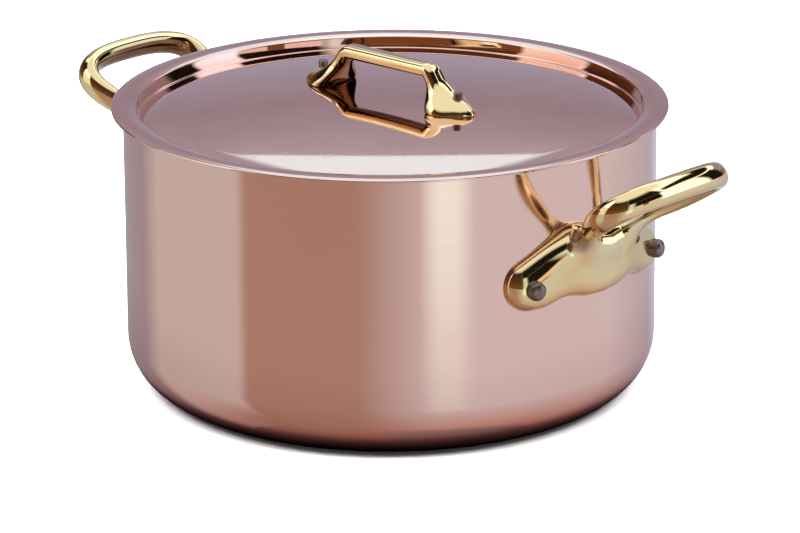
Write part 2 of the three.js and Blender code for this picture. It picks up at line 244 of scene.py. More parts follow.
# %% The lid's panel and flange
PANEL_RADIUS, PANEL_HEIGHT, DOME_RISE = 114.7, 128.2, 8.2
ROLL_START, ROLL_REACH, ROLL_DROP = 101.0, 12.0, 1.0
DOME_END, WELL_FOOT_RADIUS = 113.0, 114.5
WELL_TOP_RADIUS, WELL_TOP = 115.5, 132.5
WELL_FOOT_ROUND, WELL_TOP_ROUND, LEAST_ROUND = 0.8, 0.8, 0.15
FLANGE_START, FLANGE_CREST, FLANGE_RADIUS = 117.2, 121.5, 126.8
FLANGE_TOP, FLANGE_CROWN = 133.5, 0.5
DOME_POINTS, WELL_STEPS, FLANGE_POINTS = 96, 13, 24
LID_COPPER = 0.8
LID_LINING_FROM, LID_LINING_TO, LINING_SETBACK = 0.9, 1.2, 0.4
COPPER_EDGE_ROUNDS, LINING_EDGE_ROUNDS = (0.12, 0.45), (0.1, 0.1)


def rolled(radius):
    """How far a radius is past the start of the panel's rolled edge, over the roll's reach."""
    return np.maximum(radius - ROLL_START, 0.0) / ROLL_REACH


def dome_height(radius):
    """Height of the lid's panel: its edge height plus a rise that falls with the square of the radius, less a
    drop that grows with the square of the way along the roll."""
    return PANEL_HEIGHT + DOME_RISE * (1.0 - (radius / PANEL_RADIUS) ** 2) - ROLL_DROP * rolled(radius) ** 2


def dome_path(radius, depth):
    """Points and directions of the panel at a depth under its top, travelled outwards."""
    slope = -2.0 * DOME_RISE * radius / PANEL_RADIUS ** 2 - 2.0 * ROLL_DROP * rolled(radius) / ROLL_REACH
    points = np.stack([radius, dome_height(radius) - depth], -1)
    return points, unit(np.stack([np.ones_like(radius), slope], -1))


def flange_path(radius, depth):
    """Points and directions of the flange at a depth under its top, travelled outwards: its top height, less
    the crown times the square of the way from the crest over the reach on that side."""
    reach = np.where(radius < FLANGE_CREST, FLANGE_CREST - FLANGE_START, FLANGE_RADIUS - FLANGE_CREST)
    share = (radius - FLANGE_CREST) / reach
    points = np.stack([radius, FLANGE_TOP - depth - FLANGE_CROWN * share ** 2], -1)
    return points, unit(np.stack([np.ones_like(radius), -2.0 * FLANGE_CROWN * share / reach], -1))


# %% Copper and steel of the lid
def lid_face(depth, rim):
    """The lid's face at a depth under its top, from the axis out to the rim. Dome and flange are sunk
    straight down; the corners of the step between them move along the mitre of their sides' normals."""
    dome, dome_way = dome_path(np.linspace(0.0, DOME_END, DOME_POINTS), depth)
    flange, flange_way = flange_path(np.linspace(FLANGE_START, rim, FLANGE_POINTS), depth)
    corners = np.array([(DOME_END, dome_height(DOME_END)), (WELL_FOOT_RADIUS, dome_height(WELL_FOOT_RADIUS)),
                        (WELL_TOP_RADIUS, WELL_TOP), (FLANGE_START, flange[0, 1] + depth)])
    run = unit(np.diff(corners, axis=0))
    below = np.stack([run[:, 1], -run[:, 0]], -1)
    before, after = np.concatenate([below[:1], below]), np.concatenate([below, below[-1:]])
    mitre = (before + after) / (1.0 + np.sum(before * after, -1, keepdims=True))
    rounds = [WELL_FOOT_ROUND + depth, max(WELL_TOP_ROUND - depth, LEAST_ROUND)]
    step, step_way = rounded_path(corners + depth * mitre, rounds, WELL_STEPS)
    ways = np.concatenate([dome_way, step_way[1:-1], flange_way])
    return np.concatenate([dome, step[1:-1], flange]), ways


def lid_layer(name, near, far, rim, rim_rounds):
    """One layer of the lid: out along its lower face, round the flange's edge, back along its upper face."""
    low, low_way = lid_face(far, rim)
    high, high_way = lid_face(near, rim)
    edge, edge_way = rounded_path([low[-2], low[-1], high[-1], high[-2]], rim_rounds)
    path = np.concatenate([low[:-1], edge[1:-1], high[-2::-1]])
    ways = np.concatenate([low_way[:-1], edge_way[1:-1], -high_way[-2::-1]])
    piece = make_piece(name, *turned_surface(path, ways))
    return fit_piece(piece, "lid", name.replace("pressed_", ""))


lid_shell = lid_layer("pressed_lid_shell", 0.0, LID_COPPER, FLANGE_RADIUS, COPPER_EDGE_ROUNDS)
lid_lining = lid_layer("pressed_lid_lining", LID_LINING_FROM, LID_LINING_TO, FLANGE_RADIUS - LINING_SETBACK,
                       LINING_EDGE_ROUNDS)

# %% [markdown]
# ## The rivets
# A rivet is a steel pin whose end is hammered or pressed into a head. The side rivets have a tall,
# barrel-shaped head outside, with a faint groove where the die closed, and a wide low dome inside the pot.
# They are turned like the pot and then laid over, so that their axis points out from the pot's axis. The
# lid's rivets are slimmer, and stand upright.

# %% Side rivets
RIVET_ANGLE = math.radians(18.4)
RIVET_HEIGHT = 79.0
RIVET_PROFILE = [(0.0, 117.0), (4.6, 117.25), (6.5, 118.7), (6.5, 119.6), (3.0, 119.6), (3.0, 128.0),
                 (4.3, 128.0), (4.3, 130.9), (4.14, 131.1), (4.28, 131.3), (4.28, 131.9), (3.2, 133.4),
                 (0.0, 134.4)]
RIVET_RADII = [6.0, 1.4, 0.2, 0.2, 0.2, 0.2, 0.15, 0.12, 0.15, 1.8, 3.2]
RIVET_SIDES, RIVET_STEPS = 48, 6


def rivet(name, body, profile, radii, lay, place):
    """A turned rivet, laid along three directions and moved to its place."""
    points, faces, normals = turned_surface(*rounded_path(profile, radii, RIVET_STEPS), RIVET_SIDES)
    piece = make_piece("pressed_" + name, points @ lay + place, faces, normals @ lay)
    return fit_piece(piece, body, name)


def side_rivet(name, turn):
    """A rivet whose z becomes the way out from the pot's axis at this turn, at the rivets' height."""
    lay = np.stack([direction(turn + QUARTER_TURN, 0.0), UP, direction(turn, 0.0)])
    return rivet(name, "pot", RIVET_PROFILE, RIVET_RADII, lay, RIVET_HEIGHT * UP)


side_rivets = [side_rivet("right_handle_rivet_front", -RIVET_ANGLE),
               side_rivet("right_handle_rivet_back", RIVET_ANGLE),
               side_rivet("left_handle_rivet_back", math.pi - RIVET_ANGLE),
               side_rivet("left_handle_rivet_front", math.pi + RIVET_ANGLE)]

# %% Lid rivets
LID_RIVET_SIDE = 41.5
LID_RIVET_PROFILE = [(0.0, 132.3), (2.8, 132.45), (4.0, 133.2), (4.0, 133.8), (1.5, 133.8), (1.5, 139.0),
                     (2.1, 139.0), (2.1, 144.3), (1.55, 145.0), (0.0, 145.15)]
LID_RIVET_RADII = [3.0, 0.8, 0.15, 0.15, 0.15, 0.15, 0.5, 0.6]


def lid_rivet(name, place):
    """A rivet that stands upright through the lid and a foot of its handle."""
    return rivet(name, "lid", LID_RIVET_PROFILE, LID_RIVET_RADII, np.eye(3), [place, 0.0, 0.0])


lid_rivets = [lid_rivet("lid_rivet_right", LID_RIVET_SIDE), lid_rivet("lid_rivet_left", -LID_RIVET_SIDE)]

# %% [markdown]
# ## Castings as distance fields
# The handles are poured bronze. What makes them look cast is that every part flows into the next: a bar
# pushed through a plate would meet it in a hard crease. Grids and sweeps can't give that flow, so each
# handle is described by a distance field instead, a formula that is negative inside the metal and positive
# outside. Two fields join with a fillet if the smaller one is lowered a little wherever they are nearly
# equal. The zero surface is then skinned: each small cell that it crosses gets one point, and the points
# settle onto it exactly.

# %% Joining fields
def joined(one, other, fillet):
    """The union of two fields with a fillet: their minimum, less h squared / (4 fillet), where h is how far
    their difference falls short of the fillet's width."""
    short = np.maximum(fillet - np.abs(one - other), 0.0)
    return np.minimum(one, other) - short * short / (4.0 * fillet)


def trimmed(one, other, round_off):
    """The common part of two fields with a rounded edge: the union's formula, turned inside out."""
    return -joined(-one, -other, round_off)


def rounded_sum(one, other, power):
    """The n-th root of one^n + other^n, which is 1 on an oval that grows squarer with the power n."""
    return (one ** power + other ** power) ** (1.0 / power)


def bell(offset, width, power=2):
    """A bell that is 1 in the middle: e to the minus of offset over width, to a power."""
    return np.exp(-(offset / width) ** power)


def soft_step(offset, blend):
    """From 0 far below to 1 far above: half of one plus the hyperbolic tangent of offset over blend."""
    return 0.5 + 0.5 * np.tanh(offset / blend)


# %% Skinning a field
CELL_CORNERS = np.array(list(itertools.product((0, 1), repeat=3)))
CELL_EDGES = np.array([(a, b) for a, b in itertools.combinations(range(8), 2)
                       if np.abs(CELL_CORNERS[a] - CELL_CORNERS[b]).sum() == 1])


def skinned(field, low, step):
    """Points and four-sided faces of the zero surface of a field on an even grid. A crossed cell's point is
    the mean of the crossings on its edges, and each crossed grid edge gives a face through the four cells
    round it."""
    inside = field < 0.0
    wide, deep, high = np.array(field.shape) - 1
    filled = sum(inside[i:i + wide, j:j + deep, k:k + high].astype(np.int8) for i, j, k in CELL_CORNERS)
    crossed = (filled > 0) & (filled < len(CELL_CORNERS))
    cells = np.argwhere(crossed)
    number = np.full(crossed.shape, -1)
    number[crossed] = np.arange(len(cells))
    values = field[tuple((cells[:, None] + CELL_CORNERS).transpose(2, 0, 1))]
    start, end = values[:, CELL_EDGES[:, 0]], values[:, CELL_EDGES[:, 1]]
    cut = (start < 0.0) != (end < 0.0)
    share = np.where(cut, start / np.where(cut, start - end, 1.0), 0.0)[..., None]
    spans = CELL_CORNERS[CELL_EDGES[:, 1]] - CELL_CORNERS[CELL_EDGES[:, 0]]
    places = (CELL_CORNERS[CELL_EDGES[:, 0]] + share * spans) * cut[..., None]
    points = low + step * (cells + places.sum(1) / cut.sum(1, keepdims=True))
    faces = []
    for axis in range(3):
        flow, number_flow = np.moveaxis(inside, axis, 0), np.moveaxis(number, axis, 0)
        if axis == 1:
            flow, number_flow = flow.swapaxes(1, 2), number_flow.swapaxes(1, 2)
        i, j, k = np.argwhere(flow[:-1, 1:-1, 1:-1] != flow[1:, 1:-1, 1:-1]).T
        quad = np.stack([number_flow[i, j, k], number_flow[i, j + 1, k],
                         number_flow[i, j + 1, k + 1], number_flow[i, j, k + 1]], -1)
        leaving = flow[i, j + 1, k + 1]
        faces.append(np.where(leaving[:, None], quad, quad[:, ::-1]))
    return points, np.concatenate(faces)


# %% Settling onto the surface
SETTLE_ROUNDS, PROBE, LONGEST_MOVE, LEAST_SLOPE = 4, 0.02, 0.4, 1e-6


def settled(points, field):
    """Points moved onto a field's zero surface along its slope, value / slope at a time, and the slopes
    there, which are the exact normals. A slope is the field's difference a probe's length to either side."""
    shifts = PROBE * np.eye(3)
    for _ in range(SETTLE_ROUNDS):
        ahead = np.stack([field(points + shift) for shift in shifts], -1)
        behind = np.stack([field(points - shift) for shift in shifts], -1)
        slope = (ahead - behind) / (2.0 * PROBE)
        steepness = np.maximum(np.sum(slope * slope, -1, keepdims=True), LEAST_SLOPE)
        move = -field(points)[:, None] * slope / steepness
        length = np.linalg.norm(move, axis=-1, keepdims=True)
        points = points + move * np.minimum(1.0, LONGEST_MOVE / np.maximum(length, TINY))
    return points, slope


def cast_skin(rough_field, field, low, high, step, place):
    """Points, faces and normals of a casting. A rough field is taken on an even grid, one slab at a time, and
    skinned, and the points settle onto the exact field. Place turns the grid's measures into x, y and z."""
    counts = np.ceil((high - low) / step).astype(int) + 1
    slabs, rows, columns = (start + step * np.arange(count) for start, count in zip(low, counts))
    row, column = (grid.ravel() for grid in np.meshgrid(rows, columns, indexing="ij"))
    values = [rough_field(place(np.stack([np.full_like(row, slab), row, column], -1))) for slab in slabs]
    points, faces = skinned(np.stack(values).reshape(counts), low, step)
    points, normals = settled(place(points), field)
    return points, [faces], normals


# %% [markdown]
# ## The side handles
# Each loop grows out of the upper corners of a winged plate that hugs the wall, leans up and out at 34
# degrees, and closes in a broad bow. The plate's wings end in round lobes, each with a rivet. Its outline is
# drawn on the unrolled wall, with the way along the wall measured as an arc, so the plate bends with the
# pot. The bow was read from the photograph as a bulging superellipse that narrows towards its roots.

# %% The winged plate
PLATE_ARC_RADIUS = 125.5
LOBE_SIDE, LOBE_HEIGHT, LOBE_RADIUS = 40.0, 79.0, 11.5
SHOULDER_SIDE, SHOULDER_HEIGHT, SHOULDER_RADIUS = 14.0, 85.6, 17.2
MIDDLE_HEIGHT, MIDDLE_RADIUS = 84.6, 16.4
SCOOP_SIDE, SCOOP_HEIGHT, SCOOP_RADIUS = 20.5, 56.6, 13.8
WING_BLEND, SCOOP_BLEND = 5.0, 4.0
PLATE_THICKNESS, PLATE_SQUARENESS = 8.0, 2.1
PLATE_SWELL, SWELL_HALF_LENGTH = 1.6, 21.0
COLLAR_DEPTH, COLLAR_HALF_LENGTH, COLLAR_SQUARENESS = 6.5, 27.0, 4
COLLAR_HEIGHT, COLLAR_BLEND = 92.0, 9.0
PILLOW_BELOW, PILLOW_ABOVE, PILLOW_BLEND = 8.5, 15.0, 7.0


def tapered_bar(along, across, length, start_radius, end_radius):
    """Distance to the hull of two circles on a line: to one circle before its tangent, to the other after it,
    and to the shared tangent between."""
    lean = (start_radius - end_radius) / length
    upright = math.sqrt(1.0 - lean * lean)
    across = np.abs(across)
    reach = -lean * across + upright * along
    middle = upright * across + lean * along - start_radius
    near = np.hypot(across, along) - start_radius
    far = np.hypot(across, along - length) - end_radius
    return np.where(reach < 0.0, near, np.where(reach > upright * length, far, middle))


def plate_outline(arc, height):
    """Distance to the plate's outline on the unrolled wall: two wings and a middle disc joined softly, with a
    scoop taken from the lower edge on each side of the middle."""
    arc = np.abs(arc)
    run = np.array([LOBE_SIDE - SHOULDER_SIDE, LOBE_HEIGHT - SHOULDER_HEIGHT])
    length = np.hypot(*run)
    run = run / length
    off_arc, off_height = arc - SHOULDER_SIDE, height - SHOULDER_HEIGHT
    wing = tapered_bar(off_arc * run[0] + off_height * run[1], off_height * run[0] - off_arc * run[1],
                       length, SHOULDER_RADIUS, LOBE_RADIUS)
    middle = np.hypot(arc, height - MIDDLE_HEIGHT) - MIDDLE_RADIUS
    scoop = SCOOP_RADIUS - np.hypot(arc - SCOOP_SIDE, height - SCOOP_HEIGHT)
    return trimmed(joined(wing, middle, WING_BLEND), scoop, SCOOP_BLEND)


def plate_field(arc, height, depth):
    """The plate as a pillow: with e the way past an inner line that runs a pillow's width inside the outline,
    and d the depth over the thickness, the n-th root of e^n + d^n is one on the surface. The pillow is wide
    above and tight below, so that a wing leans back towards its upper edge. The middle swells a little, and
    its upper part swells more, as a collar that carries the loop."""
    collar = COLLAR_DEPTH * soft_step(height - COLLAR_HEIGHT, COLLAR_BLEND)
    thickness = PLATE_THICKNESS + PLATE_SWELL * bell(arc, SWELL_HALF_LENGTH)
    thickness = thickness + collar * bell(arc, COLLAR_HALF_LENGTH, COLLAR_SQUARENESS)
    pillow = PILLOW_BELOW + (PILLOW_ABOVE - PILLOW_BELOW) * soft_step(height - LOBE_HEIGHT, PILLOW_BLEND)
    past_edge = np.maximum(plate_outline(arc, height) / pillow + 1.0, 0.0)
    share = np.maximum(depth, 0.0) / thickness
    return (rounded_sum(past_edge, share, PLATE_SQUARENESS) - 1.0) * PLATE_THICKNESS


# %% The loop's middle line
LOOP_REACH, LOOP_HALF_SPREAD, LOOP_POWER, LOOP_PINCH = 49.0, 52.4, 2.7, 0.68
ROOT_DEPTH, ROOT_SLANT = 6.0, 0.62
PATH_POINTS, FINE_POINTS = 121, 2000


def even_path(points, count):
    """Points at equal steps along a line of many short parts."""
    length = np.concatenate([[0.0], np.cumsum(np.linalg.norm(np.diff(points, axis=0), axis=-1))])
    steps = np.linspace(0.0, length[-1], count)
    return np.stack([np.interp(steps, length, points[:, 0]), np.interp(steps, length, points[:, 1])], -1)


def pinched_spread(share):
    """Half of the loop's spread at a share of its reach, drawn in by the share that is still to come."""
    return LOOP_HALF_SPREAD * (1.0 - LOOP_PINCH * (1.0 - share))


def loop_path():
    """Half of the loop's middle line in its own plane: reach a = A cos^(2/n), spread b = B sin^(2/n) with B
    the pinched spread, and a straight root that sinks into the plate."""
    turn = np.linspace(0.0, QUARTER_TURN, FINE_POINTS)
    share = np.cos(turn) ** (2.0 / LOOP_POWER)
    spread = pinched_spread(share) * np.sin(turn) ** (2.0 / LOOP_POWER)
    root = [-ROOT_DEPTH, spread[-1] - ROOT_SLANT * ROOT_DEPTH]
    return even_path(np.concatenate([np.stack([LOOP_REACH * share, spread], -1), [root]]), PATH_POINTS)


def path_distance(places, path):
    """Distance from places in a plane to a line of even points: the nearest point's squared distance and its
    two neighbours' lie on a parabola, and the parabola's lowest value is the squared distance to the line."""
    squares = (places[:, :1] - path[:, 0]) ** 2 + (places[:, 1:] - path[:, 1]) ** 2
    nearest = np.clip(squares.argmin(1), 1, len(path) - 2)[:, None]
    before, here, after = (np.take_along_axis(squares, nearest + step, 1)[:, 0] for step in (-1, 0, 1))
    lowest = here - (after - before) ** 2 / (8.0 * (before - 2.0 * here + after))
    return np.sqrt(np.maximum(lowest, 0.0))


LOOP_PATH = loop_path()
print("half of the loop's line has", len(LOOP_PATH), "points")

# %% The loop's bar
LOOP_FOOT_X, LOOP_FOOT_Z, LOOP_TILT = 130.0, 99.84, math.radians(34.0)
BAR_IN_PLANE, BAR_ACROSS, BAR_SQUARENESS = 4.7, 6.0, 2.05
NECK_PLACE, NECK_LENGTH, NECK_WAIST = 3.0, 12.0, 3.0
NECK_SIDE_SHARE, NECK_SINK_SHARE = 0.4, 0.5


def loop_plane(points):
    """The way along the loop's plane out from its foot, and the way off the plane, upwards."""
    out, rise = points[:, 0] - LOOP_FOOT_X, points[:, 2] - LOOP_FOOT_Z
    along = out * math.cos(LOOP_TILT) + rise * math.sin(LOOP_TILT)
    return along, rise * math.cos(LOOP_TILT) - out * math.sin(LOOP_TILT)


def loop_field(points, path):
    """The bar as an oval section about the loop's middle line: the n-th root of the two offsets over their
    half sizes, each to the power n, less one. A bell-shaped waist thins the bar where it leaves the plate."""
    along, off_plane = loop_plane(points)
    in_plane = path_distance(np.stack([along, np.abs(points[:, 1])], -1), path)
    waist = NECK_WAIST * bell(along - NECK_PLACE, NECK_LENGTH)
    wide, tall = BAR_IN_PLANE - NECK_SIDE_SHARE * waist, BAR_ACROSS - waist
    lift = np.abs(off_plane + NECK_SINK_SHARE * waist)
    return (rounded_sum(in_plane / wide, lift / tall, BAR_SQUARENESS) - 1.0) * BAR_IN_PLANE


# %% The whole handle
HANDLE_FILLET, FILLET_SHIFT, FILLET_BLEND = 5.5, 2.8, 4.0
WALL_CLEARANCE, WALL_EDGE_ROUND = 0.2, 0.8


def wall_measures(points):
    """Arc along the unrolled wall, height, and depth out from the wall."""
    radius = np.hypot(points[:, 0], points[:, 1])
    return PLATE_ARC_RADIUS * np.arctan2(points[:, 1], points[:, 0]), points[:, 2], radius - POT_RADIUS


def from_wall(places):
    """Points in space from arc, height and depth."""
    turn = places[:, 0] / PLATE_ARC_RADIUS
    radius = POT_RADIUS + places[:, 2]
    return np.stack([radius * np.cos(turn), radius * np.sin(turn), places[:, 1]], -1)


def handle_parts(points, path):
    """Fields of the plate and the loop, and the fillet between them: wide under the loop and tight above."""
    plate = plate_field(*wall_measures(points))
    fillet = HANDLE_FILLET - FILLET_SHIFT * np.tanh(loop_plane(points)[1] / FILLET_BLEND)
    return plate, loop_field(points, path), fillet


def handle_field(points, path=LOOP_PATH):
    """The whole handle: plate and loop with a fillet between them, cut off flat against the wall."""
    depth = wall_measures(points)[2]
    return trimmed(joined(*handle_parts(points, path)), WALL_CLEARANCE - depth, WALL_EDGE_ROUND)


def rough_handle(points):
    """The handle with every fourth point of its loop's line, which is enough to find the crossed cells."""
    return handle_field(points, LOOP_PATH[::4])


# %% Where a polishing wheel can't reach
RECESS_MOST, RECESS_HALF_LENGTH, RECESS_SPREAD = 0.72, 25.0, 1.4
RECESS_HEIGHT, RECESS_HALF_HEIGHT = 88.0, 14.0
INNER_FROM, INNER_BLEND = 0.99, 0.08
INNER_ROOT, INNER_ROOT_BLEND = 0.25, 0.2


def handle_recess(points):
    """How far a polishing wheel stays away from a point, from 0 to 1: most where plate and loop are equally
    near, and on the middle of the plate, under the loop."""
    plate, loop, fillet = handle_parts(points, LOOP_PATH)
    arc, height, _ = wall_measures(points)
    middle = bell(arc, RECESS_HALF_LENGTH) * bell(height - RECESS_HEIGHT, RECESS_HALF_HEIGHT)
    corner = np.clip(1.0 - np.abs(plate - loop) / (RECESS_SPREAD * fillet), 0.0, 1.0)
    return np.maximum(corner, RECESS_MOST * middle)


def loop_inside(points):
    """How far a point is round the inside of the loop, from 0 on its middle line to 1 at its inner face: the
    superellipse value of the point falls short of one there."""
    along = np.clip(loop_plane(points)[0], 0.0, None) / LOOP_REACH
    value = rounded_sum(along, np.abs(points[:, 1]) / pinched_spread(np.minimum(along, 1.0)), LOOP_POWER)
    past_root = np.clip((along - INNER_ROOT) / INNER_ROOT_BLEND, 0.0, 1.0)
    return np.clip((INNER_FROM - value) / INNER_BLEND, 0.0, 1.0) * past_root


# %% One casting, skinned once and set on both sides
HANDLE_STEP = 0.7
HANDLE_LOW, HANDLE_HIGH = np.array([-56.0, 62.0, -1.4]), np.array([56.0, 141.0, 58.0])
HALF_TURN = np.array([-1.0, -1.0, 1.0])
# How much dark brown painted shade the inside of each loop gets; the far loop gets more.
RIGHT_PAINTED_SHADE, LEFT_PAINTED_SHADE = 0.3, 0.86
casting, casting_faces, casting_normals = cast_skin(rough_handle, handle_field, HANDLE_LOW, HANDLE_HIGH,
                                                    HANDLE_STEP, from_wall)
recess, inside = handle_recess(casting), loop_inside(casting)


def side_handle(name, turn, painted_shade):
    """The casting as it is or turned by half a turn, with its own share of painted shade inside the loop."""
    piece = make_piece("cast_" + name, casting * turn, casting_faces, casting_normals * turn)
    mark_points(piece, "recess", recess)
    mark_points(piece, "inside", painted_shade * inside)
    return fit_piece(piece, "pot", name)


right_handle = side_handle("right_handle", 1.0, RIGHT_PAINTED_SHADE)
left_handle = side_handle("left_handle", HALF_TURN, LEFT_PAINTED_SHADE)

# %% [markdown]
# ## The lid handle
# A flat-topped bar bends down into two legs that splay outwards and flare into leaf-shaped feet, wide under
# the leg and pointed at the tip. It is the same on both sides of two planes, so the field only looks at the
# size of x and y. Bar and leg are one bent bar, so that no seam shows at the bend, and a foot is a quarter
# of a pointed pillow that the leg flows into.

# %% Bar and feet of the bridge
BRIDGE_BASE, BRIDGE_HEIGHT = 135.5, 19.8
BRIDGE_HALF_WIDTH, BRIDGE_HALF_THICKNESS, BRIDGE_SQUARENESS = 4.9, 3.2, 2.5
BRIDGE_LEVEL = BRIDGE_HEIGHT - BRIDGE_HALF_THICKNESS
FLARE_WIDTH, FLARE_HEIGHT, FLARE_POWER = 3.4, 5.0, 2.5
LEG_TOP, LEG_FOOT, LEG_BEND, BEND_STEPS = 25.2, (36.2, 1.0), 3.8, 60
PAST_MIDDLE = -2.0
FOOT_INNER, FOOT_LENGTH, FOOT_HALF_WIDTH, FOOT_HEIGHT = 32.2, 18.4, 11.6, 8.4
LEAF_POWER, FOOT_ROUNDNESS = 1.7, 1.65
FOOT_LEAN, FOOT_INNER_ROUND = 0.45, 2.0


def bridge_path():
    """Half of the bar's middle line: level from past the middle, round the bend, down the splayed leg."""
    corners = [(PAST_MIDDLE, BRIDGE_LEVEL), (LEG_TOP, BRIDGE_LEVEL), LEG_FOOT]
    return even_path(rounded_path(corners, [LEG_BEND], BEND_STEPS)[0], PATH_POINTS)


BRIDGE_PATH = bridge_path()
print("half of the bridge's line has", len(BRIDGE_PATH), "points")


def bridge_parts(points):
    """Fields of the bent bar and of a foot. The bar's half width flares as one over one plus a power of the
    height. The foot is t^n + |y / w|^n in plan, where t runs from its inner face to its tip, and is rounded
    over."""
    x, y, height = np.abs(points[:, 0]), np.abs(points[:, 1]), points[:, 2] - BRIDGE_BASE
    drop = np.clip(height, 0.0, BRIDGE_HEIGHT)
    half_width = BRIDGE_HALF_WIDTH + FLARE_WIDTH / (1.0 + (drop / FLARE_HEIGHT) ** FLARE_POWER)
    lift = path_distance(np.stack([x, height], -1), BRIDGE_PATH) / BRIDGE_HALF_THICKNESS
    bar = (rounded_sum(y / half_width, lift, BRIDGE_SQUARENESS) - 1.0) * BRIDGE_HALF_THICKNESS
    along = np.maximum(x - FOOT_INNER, 0.0) / FOOT_LENGTH
    plan = rounded_sum(along, y / FOOT_HALF_WIDTH, LEAF_POWER)
    pillow = rounded_sum(plan, np.maximum(height, 0.0) / FOOT_HEIGHT, FOOT_ROUNDNESS)
    inner_face = FOOT_INNER - FOOT_LEAN * drop - x
    return bar, trimmed((pillow - 1.0) * FOOT_HEIGHT, inner_face, FOOT_INNER_ROUND)


# %% The bridge casting
BRIDGE_FILLET = 5.0
LID_CLEARANCE, LID_EDGE_ROUND = 0.12, 0.4
OPENING_BLEND = 2.6
BRIDGE_STEP = 0.5
BRIDGE_LOW, BRIDGE_HIGH = np.array([-53.0, -15.0, 131.0]), np.array([53.0, 15.0, 157.0])


def bridge_field(points):
    """Bar and feet with a fillet, cut off where the lid's panel carries them."""
    panel = dome_height(np.hypot(points[:, 0], points[:, 1])) + LID_CLEARANCE
    return trimmed(joined(*bridge_parts(points), BRIDGE_FILLET), panel - points[:, 2], LID_EDGE_ROUND)


def bridge_inside(points):
    """How far a point is inside the opening, from 0 on the bar's middle line to 1 at its inner face: the
    lesser of how far it is under the level bar and how far it is inwards of the sloping leg."""
    under = BRIDGE_LEVEL - (points[:, 2] - BRIDGE_BASE)
    leg = LEG_TOP + (LEG_FOOT[0] - LEG_TOP) * under / (BRIDGE_LEVEL - LEG_FOOT[1])
    return np.clip(np.minimum(under, leg - np.abs(points[:, 0])) / OPENING_BLEND, 0.0, 1.0)


# The grid is in plain x, y and z here, so each place on it is already a point in space.
bridge, bridge_faces, bridge_normals = cast_skin(bridge_field, bridge_field, BRIDGE_LOW, BRIDGE_HIGH,
                                                 BRIDGE_STEP, np.asarray)
lid_handle = make_piece("cast_lid_handle", bridge, bridge_faces, bridge_normals)
mark_points(lid_handle, "recess", np.zeros(len(bridge)))
# The inside value tells the material where the bridge's opening gets its dark brown painted shade.
mark_points(lid_handle, "inside", bridge_inside(bridge))
fit_piece(lid_handle, "lid", "lid_handle")

# %% [markdown]
# ## Building blocks for the metals
# All five finishes are metals, so their colour is a reflection colour and their character is in how the
# surface scatters light. Effects that several metals share are node groups: lines left by a turning or
# brushing tool, soft clouds of handling and tarnish, and fine hairline scratches. Each reads Object
# coordinates, which are metres from the middle of the base, so the scale of a pattern is its true size.

# %% Node helpers
def feed(socket, value):
    """Links an input to another node's output, or else sets it; a colour is set with full cover."""
    if isinstance(value, bpy.types.NodeSocket):
        socket.id_data.links.new(value, socket)
    elif socket.type == "RGBA":
        socket.default_value = (*value, 1.0)
    else:
        socket.default_value = value


def add_node(tree, kind, *values, **settings):
    """A new node with its settings, whose first inputs are filled in order."""
    node = tree.nodes.new(kind)
    for name, setting in settings.items():
        setattr(node, name, setting)
    for socket, value in zip(node.inputs, values):
        feed(socket, value)
    return node


def set_inputs(node, **values):
    """Fills inputs by name, with _ for a space."""
    for name, value in values.items():
        feed(node.inputs[name.replace("_", " ")], value)
    return node


def math_node(tree, operation, *values):
    """A Math node of numbers and outputs; gives its own output."""
    return add_node(tree, "ShaderNodeMath", *values, operation=operation).outputs[0]


def vector_node(tree, operation, *values):
    """A Vector Math node of vectors; gives its outputs."""
    return add_node(tree, "ShaderNodeVectorMath", *values, operation=operation).outputs


def new_group(name, inputs, output):
    """An empty shader node group with a vector input, named value inputs with defaults, and one value output;
    gives its tree, its outputs to draw from and its sink."""
    tree = bpy.data.node_groups.new(name, "ShaderNodeTree")
    tree.interface.new_socket("Vector", in_out="INPUT", socket_type="NodeSocketVector")
    for label, default in inputs.items():
        socket = tree.interface.new_socket(label, in_out="INPUT", socket_type="NodeSocketFloat")
        socket.default_value = default
    tree.interface.new_socket(output, in_out="OUTPUT", socket_type="NodeSocketFloat")
    return tree, add_node(tree, "NodeGroupInput").outputs, add_node(tree, "NodeGroupOutput")


# %% Lines of a turning tool
def turned_lines_group():
    """Noise stretched round the axis: the direction from the axis, times the streaks in a radian, is two of
    its coordinates, and radius plus height, times the lines in a metre, is the third."""
    tree, source, sink = new_group("turned_lines", {"Lines": 2000.0, "Streaks": 6.0}, "Line")
    split = add_node(tree, "ShaderNodeSeparateXYZ", source["Vector"]).outputs
    flat = add_node(tree, "ShaderNodeCombineXYZ", split["X"], split["Y"]).outputs[0]
    aim = vector_node(tree, "NORMALIZE", flat)["Vector"]
    spread = add_node(tree, "ShaderNodeVectorMath", aim, operation="SCALE")
    set_inputs(spread, Scale=source["Streaks"])
    along = math_node(tree, "ADD", vector_node(tree, "LENGTH", flat)["Value"], split["Z"])
    line = math_node(tree, "MULTIPLY", along, source["Lines"])
    lift = set_inputs(add_node(tree, "ShaderNodeCombineXYZ"), Z=line)
    place = vector_node(tree, "ADD", spread.outputs["Vector"], lift.outputs[0])["Vector"]
    noise = set_inputs(add_node(tree, "ShaderNodeTexNoise", place), Scale=1.0, Detail=3.0, Roughness=0.62)
    set_inputs(sink, Line=noise.outputs["Fac"])
    return tree


# %% Clouds and hairlines
HAIRLINE_TURNS = ((0.3, 0.2, 0.9), (1.2, 0.8, 2.3), (2.1, 1.7, 0.1))
HAIRLINE_SQUEEZE = (1.0, 0.035, 1.0)
NOISE_MEAN = 0.5


